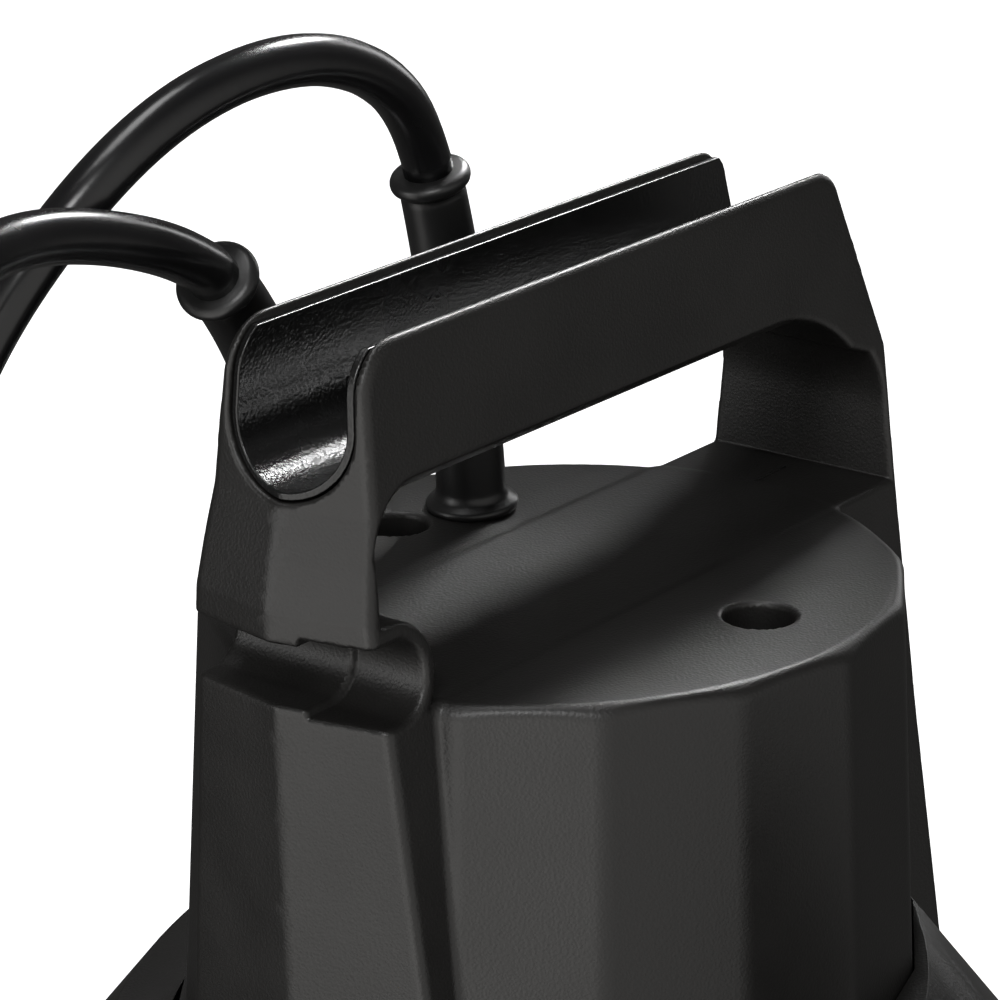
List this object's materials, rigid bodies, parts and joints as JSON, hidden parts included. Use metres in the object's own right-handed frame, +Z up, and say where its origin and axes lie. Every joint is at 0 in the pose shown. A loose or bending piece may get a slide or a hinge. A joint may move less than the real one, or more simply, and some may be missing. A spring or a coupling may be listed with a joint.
{
  "type": "submersible sump pump",
  "caption": "Black submersible sump pump with a carrying handle, cable boots, a tethered float switch, a coiled mains lead and an upward discharge",
  "frame": {"origin": "on the floor under the middle foot, on the motor axis", "axes": "+X along the handle, +Y away from the discharge, +Z up along the motor axis"},
  "size_m": [0.3573, 0.3476, 0.2991],
  "materials": {
    "housing_plastic": "black moulded plastic with a fine leather grain",
    "liner_plastic": "glossier black plastic of the channel liner",
    "inner_plastic": "plain black moulded plastic",
    "float_plastic": "smooth black float shell",
    "pale_plastic": "pale moulded plastic",
    "boot_rubber": "satin black rubber of the bend protectors",
    "cable_rubber": "glossy black cable sheath",
    "plug_rubber": "moulded black plug",
    "seal_rubber": "black rubber of seals, feet and flap",
    "screw_steel": "stainless screws and small sheet parts",
    "bearing_steel": "ground steel of shaft, bearings, pin and ball",
    "core_steel": "stacked core sheets",
    "cast_aluminium": "cast aluminium",
    "can_aluminium": "drawn capacitor can",
    "winding_copper": "varnished copper winding",
    "nut_brass": "brass nuts and plug pins"
  },
  "bodies": {
    "root": {"upper_housing": "housing_plastic", "channel_liner": "liner_plastic", "top_screws": "screw_steel", "power_boot": "boot_rubber", "float_boot": "boot_rubber", "power_gland_nut": "nut_brass", "float_gland_nut": "nut_brass", "bearing_bracket": "cast_aluminium", "upper_bearing": "bearing_steel", "stator_core": "core_steel", "stator_windings": "winding_copper", "terminal_block": "pale_plastic", "run_capacitor": "can_aluminium", "capacitor_clip": "screw_steel", "lower_bearing": "bearing_steel", "seal_plate": "inner_plastic", "housing_seal": "seal_rubber", "seal_seat": "pale_plastic", "housing_screws": "screw_steel", "volute": "inner_plastic", "volute_screws": "screw_steel", "pump_casing": "housing_plastic", "discharge_seat": "inner_plastic", "flap_pin": "bearing_steel", "discharge_adapter": "inner_plastic", "adapter_seal": "seal_rubber", "strainer_base": "housing_plastic", "strainer_screws": "screw_steel", "rubber_feet": "seal_rubber", "power_cord": "cable_rubber", "power_cord_coil": "cable_rubber", "coil_tie": "seal_rubber", "plug_body": "plug_rubber", "plug_blades": "nut_brass", "plug_earth_pin": "nut_brass", "float_cord": "cable_rubber"},
    "rotor": {"shaft": "bearing_steel", "rotor_core": "core_steel", "rotor_end_rings": "cast_aluminium", "seal_head": "seal_rubber", "impeller": "inner_plastic", "impeller_nut": "nut_brass"},
    "float": {"float_nose": "boot_rubber", "float_lower_shell": "float_plastic", "float_upper_shell": "float_plastic", "ball_tube": "pale_plastic", "micro_switch": "inner_plastic"},
    "ball": {"tilt_ball": "bearing_steel"},
    "lever": {"switch_lever": "screw_steel"},
    "flap": {"check_flap": "seal_rubber"}
  },
  "joints": [
    {"name": "rotor_spin", "type": "hinge", "parent": "root", "child": "rotor", "pos_m": [0, 0, 0.1], "axis": [0, 0, 1], "continuous": true},
    {"name": "float_tilt", "type": "hinge", "parent": "root", "child": "float", "pos_m": [-0.166, -0.066, 0.0223], "axis": [-1, 0, 0], "range_deg": [0, 75]},
    {"name": "ball_roll", "type": "slide", "parent": "float", "child": "ball", "axis": [0, 1, 0], "range_m": [0, 0.02]},
    {"name": "lever_press", "type": "hinge", "parent": "float", "child": "lever", "pos_m": [-0.166, -0.1248, 0.0273], "axis": [1, 0, 0], "range_deg": [0, 10]},
    {"name": "flap_swing", "type": "hinge", "parent": "root", "child": "flap", "pos_m": [0, -0.0968, 0.1176], "axis": [-1, 0, 0], "range_deg": [0, 60]}
  ],
  "couplings": [
    {"joint": "lever_press", "follows": "ball_roll", "rad_per_m": 8.7}
  ]
}
